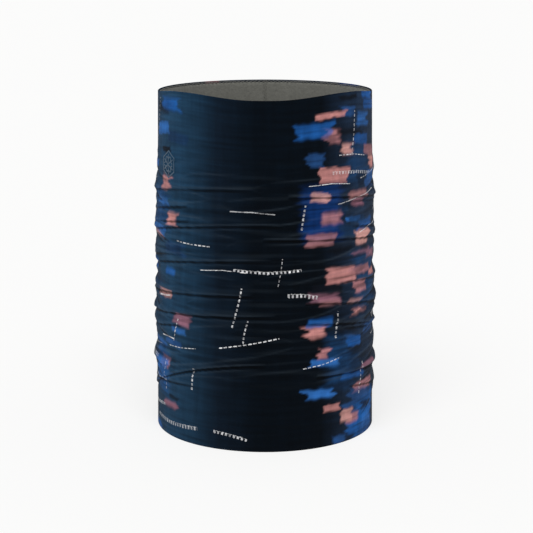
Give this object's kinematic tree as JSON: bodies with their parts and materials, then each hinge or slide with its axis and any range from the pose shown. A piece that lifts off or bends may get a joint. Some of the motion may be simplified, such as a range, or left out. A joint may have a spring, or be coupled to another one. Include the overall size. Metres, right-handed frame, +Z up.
{
  "type": "neck gaiter",
  "caption": "Soft knitted neck gaiter: a printed tube with a brushed lining, gathered at its middle, with a flat back seam and a hinged care label inside.",
  "frame": {"origin": "centre of the lower edge, on the surface that the tube stands on", "axes": "+Z up along the tube, -Y to the front, +Y to the back seam, +X to the right seen from the front"},
  "size_m": [0.163, 0.163, 0.25],
  "materials": {
    "printed_knit": "matte printed jersey knit",
    "brushed_lining": "brushed matte grey knit",
    "seam_thread": "flat-lock polyester thread",
    "hem_thread": "fine polyester thread",
    "emblem_film": "thin satin transfer film",
    "label_satin": "woven satin ribbon",
    "label_thread": "fine polyester thread"
  },
  "bodies": {
    "tube": {"outer_knit": "printed_knit", "brushed_lining": "brushed_lining", "outer_seam_thread": "seam_thread", "inner_seam_thread": "seam_thread", "top_hem_thread": "hem_thread", "bottom_hem_thread": "hem_thread", "film_emblem": "emblem_film", "label_stitch": "label_thread"},
    "label": {"care_label": "label_satin"}
  },
  "joints": [
    {"name": "label_flap", "type": "hinge", "parent": "tube", "child": "label", "pos_m": [0, 0.07529, 0.066], "axis": [-1, 0, 0], "range_deg": [0, 150]}
  ]
}
